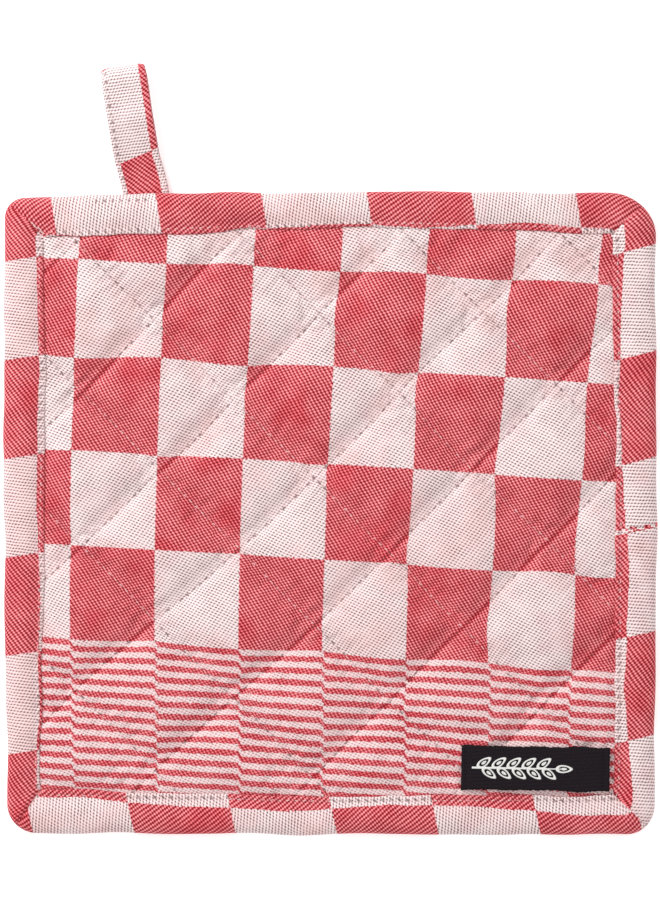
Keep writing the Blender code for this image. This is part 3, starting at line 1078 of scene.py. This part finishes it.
def loopMiddle():
    # the middle of its tape seen from the side, from one sewn end to the other: reach, height
    low, tuck, radius = loop["tape"] / 2, loop["tuck"], loop["endRadius"]
    near, far = low + loop["tape"] + loop["gap"], low + 2 * radius
    turnAt = loop["reach"] - radius - loop["tape"] / 2
    outSteps, turnSteps, backSteps = loop["steps"]
    points = [Vector((-tuck + (tuck + turnAt) * step / outSteps, low)) for step in range(outSteps)]
    centre = Vector((turnAt, low + radius))
    for step in range(turnSteps + 1):
        angle = math.pi * (step / turnSteps - 0.5)
        points.append(centre + Vector((math.cos(angle), math.sin(angle))) * radius)
    start, end = loop["rise"]
    for step in range(1, backSteps + 1):
        reach = turnAt + (-tuck - turnAt) * step / backSteps
        points.append(Vector((reach, near + (far - near) * smooth((reach - start) / (end - start)))))
    return points


def loopPoint(reach, across, height):
    x, y = turnedBy(across, reach, math.radians(loop["lean"]))
    x += loop["base"][0] + loop["flare"] * smooth(1 - reach / loop["flareRun"])
    return Vector((x, y + loop["base"][1], height))


def loopSection():
    # across and through: two leaves with a fold on the right and a slit on the left
    half, thick = loop["width"] / 2, loop["tape"] / 2
    shares = [step / loop["leafSteps"] for step in range(loop["leafSteps"] + 1)]
    start, length = half - loop["foldEdge"], 2 * half - loop["foldEdge"] - loop["slitEdge"]
    section = []
    for share in shares:
        hollow = 0.22 * math.sin(math.pi * share) ** 0.5 * (1 - share) + 0.05 * share
        section.append((start - length * share, thick - hollow))
    section += [(-half + inwards, through) for inwards, through in loop["slit"]]
    section.append((-half + loop["slitDepth"], 0.0))
    section += [(-half + inwards, -through) for inwards, through in reversed(loop["slit"])]
    for share in reversed(shares):
        section.append((start - length * share, -thick + 0.1 * math.sin(math.pi * share)))
    return section + [(half - 0.08, -0.35), (half, 0.0), (half - 0.08, 0.35)]


def makeLoop():
    middle, section = loopMiddle(), loopSection()
    columns, rows = len(middle) - 1, len(section)
    half = loop["width"] / 2
    piece = newGrid("hangingLoop", columns, rows)
    mesh = piece.data
    spots = [gridPlace(vertex, columns, rows) for vertex in mesh.vertices]
    travelled = [0.0]
    for before, after in zip(middle, middle[1:]):
        travelled.append(travelled[-1] + (after - before).length)
    for vertex, (column, row) in zip(mesh.vertices, spots):
        before, after = middle[max(column - 1, 0)], middle[min(column + 1, columns)]
        sideways = -(after - before).normalized().orthogonal()
        across, through = section[row % rows]
        along = travelled[column]
        across += 0.25 * waver(along, across, 11, 7)
        free = smooth(along / loop["freeRuns"][0]) * smooth((travelled[-1] - along) / loop["freeRuns"][1])
        sway = free * (0.45 * waver(along, 0, 16, 2) * across / half + 0.2 * waver(along, across, 6, 9))
        gather = loop["gather"] * smooth(1 - (across + half) / loop["gatherWidth"])
        gather *= math.sin(2 * math.pi * along / loop["gatherPitch"] + 5 * waver(along, across, 9, 4))
        point = middle[column] + sideways * (through + sway + gather * min(free * 2, 1.0))
        atTip = smooth((point.x - loop["reach"]) / loop["tipRun"] + 1)
        point.x -= loop["roundTip"] * atTip * (across / half) ** 6
        vertex.co = loopPoint(point.x, across, point.y) * mm

    maps = mesh.uv_layers["cloth"], mesh.uv_layers.new(name="rising")
    boundary, boundaryRight = loop["boundary"]
    for polygon in mesh.polygons:
        corners = []
        for index in polygon.loop_indices:
            column, row = spots[mesh.loops[index].vertex_index]
            across = section[row % rows][0]
            reach = travelled[-1] - travelled[column] - loop["tuck"]
            start = boundary + (boundaryRight - boundary) * (across / half + 1) / 2
            isFace = row <= loop["leafSteps"] + 2 or row >= rows - 1
            fromEdge = half - across if isFace else loop["insideAt"]
            corners.append((index, across, reach, reach - start, fromEdge))
        # the leaf underneath shows white along the left edge of the red check
        middleAcross = sum(corner[1] for corner in corners) / len(corners)
        isRed = sum(corner[3] for corner in corners) < 0
        flip = int(isRed and middleAcross < loop["underShown"] - half)
        for index, across, reach, past, fromEdge in corners:
            v = (fromEdge - loop["foldShown"]) / cloth["tapeCheck"][1]
            maps[0].data[index].uv = past / loop["check"] + flip, v
            maps[1].data[index].uv = abs(across + half - loop["seam"]), reach
    closeUp(piece, fillEnds=True)
    print("loop", len(mesh.polygons), "faces")
    return piece


# the woven label

label = {
    "centre": (63.0, -78.4),
    "size": (45.6, 13.6),
    "tilt": -1.0,
    "bed": 5.0,
    "bedFlat": 1.5,
    "bedRun": 8.0,
    "base": 5.25,
    "thick": 0.75,
    "body": 0.65,
    "cell": 0.45,
    "hem": (0.35, 1.6, 0.5),  # the dent over the turned ends: depth, distance from the end, softness
    "edgeDrop": 0.3,
    "edgeRuns": (0.7, 0.6),  # how far in it starts, at the ends and at the long sides
    "wave": 0.12,
    "fray": 0.3,
    "endFray": 0.18,
    "edgeWander": 0.5,
}


def labelPoint(along, across, height):
    x, y = turnedBy(along, across, math.radians(label["tilt"]))
    return Vector((label["centre"][0] + x, label["centre"][1] + y, height))


def labelTop(along, across):
    # the label's face: ends turned under and sewn down, a slight wave
    length, width = label["size"]
    depth, hemAt, softness = label["hem"]
    fromEnd = length / 2 - abs(along)
    height = label["base"] + label["thick"] - depth * math.exp(-((fromEnd - hemAt) ** 2) / softness)
    for inside, run in zip((fromEnd, width / 2 - abs(across)), label["edgeRuns"]):
        height -= label["edgeDrop"] * smooth(1 - inside / run)
    return height + label["wave"] * waver(along, across, 8, 2)


def makeLabel():
    length, width = label["size"]
    columns, rows = round(length / label["cell"]), round(width / label["cell"])
    piece = newGrid("wovenLabel", columns, rows)
    mesh = piece.data
    places = []
    for vertex in mesh.vertices:
        column, row = gridPlace(vertex, columns, rows)
        along, across = vertex.co.x * length, vertex.co.y * width
        across += label["edgeWander"] * 2 * vertex.co.y * waver(along, 2 * vertex.co.y, 9, 4)
        if row in (0, rows):
            across += label["fray"] * (dice.random() - 0.6) * (1 if across > 0 else -1)
        if column in (0, columns):
            along += label["endFray"] * (dice.random() - 0.6) * (1 if along > 0 else -1)
        places.append((along, across))
        vertex.co = labelPoint(along, across, labelTop(along, across)) * mm
    for corner in mesh.loops:
        mesh.uv_layers["cloth"].data[corner.index].uv = places[corner.vertex_index]
    thicken(piece, label["body"])
    closeUp(piece)
    print("label", len(mesh.polygons), "faces")
    return piece


# the sprig on the label, in pale yarn

sprig = {
    "place": (-4.0, 0.0),
    "length": 31.0,
    "stemShare": 0.9,
    "stemSteps": (70, 4),
    "stemWidth": 0.55,
    "leafPairs": 5,
    "leafSize": (5.4, 2.5),
    "leafAngle": 36.0,
    "leafSteps": (30, 3),
    "leafBands": ((1.0, 0.62), (0.34, 0.02)),  # outer and inner scale: the outline, the small leaf inside
    "firstLeaf": 1.5,
    "bare": 8.0,  # how much of the stem has no pairs
    "pairOffset": 1.6,
    "yarnHeight": 0.12,
}


def leafOutline(share, scale):
    # a point of a leaf's edge, going round it, on the leaf's own axes
    length, width = sprig["leafSize"]
    angle = 2 * math.pi * share
    reach = (1 - math.cos(angle)) / 2
    half = width / 2 * math.sin(angle) * (1.2 - 0.45 * reach) * abs(math.sin(angle)) ** 0.15
    return length * (0.5 + (reach - 0.5) * scale), half * scale


def makeLeaf(along, angle):
    # two bands, each between two outlines of one pointed leaf that starts at that place of the stem
    rounds, rows = sprig["leafSteps"]
    leaves = []
    for outer, inner in sprig["leafBands"]:
        leaf = newGrid("leaf", rounds, rows)
        for vertex in leaf.data.vertices:
            column, row = gridPlace(vertex, rounds, rows)
            outline = leafOutline(column / rounds, inner + (outer - inner) * row / rows)
            x, y = turnedBy(*outline, math.radians(angle))
            x, y = along + x, sprig["place"][1] + y
            raised = sprig["yarnHeight"] * (0.3 + 0.7 * math.sin(math.pi * row / rows))
            vertex.co = labelPoint(x, y, labelTop(x, y) + raised) * mm
        leaves.append(leaf)
    return leaves


def makeSprig():
    start = sprig["place"][0] - sprig["length"] / 2
    stem = newGrid("labelSprig", *sprig["stemSteps"])
    for vertex in stem.data.vertices:
        share, side = vertex.co.x + 0.5, vertex.co.y * 2
        x = start + share * sprig["length"] * sprig["stemShare"]
        y = sprig["place"][1] + side * sprig["stemWidth"] / 2 * (1.2 - 0.6 * share)
        raised = sprig["yarnHeight"] * math.sqrt(max(0.0, 1.05 - side * side))
        vertex.co = labelPoint(x, y, labelTop(x, y) + raised) * mm
    leaves = []
    for number in range(sprig["leafPairs"]):
        along = start + sprig["firstLeaf"] + number * (sprig["length"] - sprig["bare"]) / sprig["leafPairs"]
        leaves += makeLeaf(along, sprig["leafAngle"])
        leaves += makeLeaf(along + sprig["pairOffset"], -sprig["leafAngle"])
    leaves += makeLeaf(start + sprig["length"] - sprig["leafSize"][0], 0.0)
    activate(stem)
    for leaf in leaves:
        leaf.select_set(True)
    bpy.ops.object.join()
    thicken(stem, sprig["yarnHeight"])
    bpy.ops.object.shade_smooth()
    print("sprig", len(leaves), "leaf bands")
    return stem


# the sewing: one short thread, copied along every seam

sewing = {
    "length": 1.9,
    "tapeLength": 1.7,
    "cornerLength": 2.6,
    "thick": 0.3,
    "sink": 0.22,
    "jitter": 0.12,
    "proud": 0.15,  # share of its thickness that the middle of a stitch stands out
    "depth": {"rising": 0.26, "falling": 0.07, "tape": 0.08, "corner": -0.12, "uneven": 0.14},
    "backHeight": -0.03,
    "within": 92.0,
    "clear": 1.2,  # how far the quilting stays from the tape and the label
    "tapeOut": 0.6,
    "tapeTurn": 0.35,
}


def makeSeam(name, places):
    # places: centre x, centre y, direction, height at the middle, its slope along the thread, and length
    bpy.ops.object.select_all(action="DESELECT")
    bpy.ops.mesh.primitive_uv_sphere_add(segments=6, ring_count=5, radius=0.5)
    piece = bpy.context.object
    piece.name = piece.data.name = name
    shape = bmesh.new()
    shape.from_mesh(piece.data)
    points = [vertex.co.copy() for vertex in shape.verts]
    faces = [[corner.index for corner in face.verts] for face in shape.faces]
    shape.clear()
    thick = sewing["thick"]
    for x, y, turn, height, slope, length in places:
        turn += sewing["jitter"] * (dice.random() - 0.5)
        made = []
        for point in points:
            along, across = point.z * length, point.x * thick
            z = height + slope * along + point.y * thick - sewing["sink"] * (2 * point.z) ** 2
            aside, ahead = turnedBy(along, across, turn)
            made.append(shape.verts.new(Vector((x + aside, y + ahead, z)) * mm))
        for face in faces:
            shape.faces.new([made[index] for index in face])
    bmesh.ops.recalc_face_normals(shape, faces=shape.faces)
    shape.to_mesh(piece.data)
    shape.free()
    activate(piece)
    bpy.ops.object.shade_smooth()
    print(name, len(places), "stitches")
    return piece


def seamPlace(heightAt, x, y, turn, length, depth, below=False):
    # where one stitch lies on a surface, or None off it
    stepX, stepY = turnedBy(length / 2, 0.0, turn)
    ahead = heightAt(x + stepX, y + stepY, below)
    behind = heightAt(x - stepX, y - stepY, below)
    middle = heightAt(x, y, below)
    if ahead is None or behind is None or middle is None:
        return None
    raised = sewing["thick"] * sewing["proud"] - depth + sewing["depth"]["uneven"] * (dice.random() - 0.5)
    raised = sewing["backHeight"] if below else raised
    return x, y, turn, (ahead + behind + 2 * middle) / 4 + raised, (ahead - behind) / length, length


def quiltStitches(heightAt, below=False):
    places = []
    pitch, clear = cloth["stitchPitch"], sewing["clear"]
    count = int(pad["reach"] / pitch)
    for lines, direction in ((pad["risingLines"], "rising"), (pad["fallingLines"], "falling")):
        for line, stray in lines:
            for number in range(-count, count + 1):
                ends = []
                for place in (number * pitch - 1, number * pitch + 1):
                    away = line + stray * strayShare(place)
                    ends.append(unturned(away, place) if direction == "rising" else unturned(place, away))
                x, y = (ends[0][0] + ends[1][0]) / 2, (ends[0][1] + ends[1][1]) / 2
                turn = math.atan2(ends[1][1] - ends[0][1], ends[1][0] - ends[0][0])
                if max(abs(x), abs(y)) > sewing["within"]:
                    continue
                if min(insideTape(x, y), labelDistance(x, y)) < clear:
                    continue
                depth = sewing["depth"][direction]
                place = seamPlace(heightAt, x, y, turn, sewing["length"], depth, below)
                if place:
                    places.append(place)
    return places


def tapeStitches(heightAt, below=False):
    # round the tape, just outside its inner edge
    places = []
    outwards = tape["seam"] - sewing["tapeOut"]
    travelled, due = 0.0, 0.0
    for index, inner in enumerate(innerRing):
        following = innerRing[(index + 1) % len(innerRing)]
        outward = (outerRing[index] - inner).normalized()
        run = following - inner
        while due < travelled + run.length and run.length > 0:
            place = inner + run * ((due - travelled) / run.length) + outward * outwards
            turn = math.atan2(run.y, run.x) + (0.0 if below else sewing["tapeTurn"])
            depth = sewing["depth"]["tape"]
            found = seamPlace(heightAt, place.x, place.y, turn, sewing["tapeLength"], depth, below)
            if found:
                places.append(found)
            due += cloth["stitchPitch"]
        travelled += run.length
    if not below:
        for x, y, turn in tape["cornerThreads"]:
            depth = sewing["depth"]["corner"]
            places.append(seamPlace(heightAt, x, y, turn, sewing["cornerLength"], depth))
    return places


padPiece = makePad()
tapePiece = makeTape()
loopPiece = makeLoop()
labelPiece = makeLabel()
sprigPiece = makeSprig()
padSurface, tapeSurface = surfaceOf(padPiece), surfaceOf(tapePiece)
quiltPiece = makeSeam("quiltStitches", quiltStitches(padSurface) + quiltStitches(padSurface, True))
edgeSeamPiece = makeSeam("edgeStitches", tapeStitches(tapeSurface) + tapeStitches(tapeSurface, True))

finish(padPiece, padCotton, "quilted_pad")
finish(tapePiece, tapeCotton, "edge_binding")
finish(loopPiece, tapeCotton, "hanging_loop")
finish(labelPiece, blackWeave, "label")
finish(sprigPiece, paleYarn)
finish(quiltPiece, whiteThread)
finish(edgeSeamPiece, whiteThread)
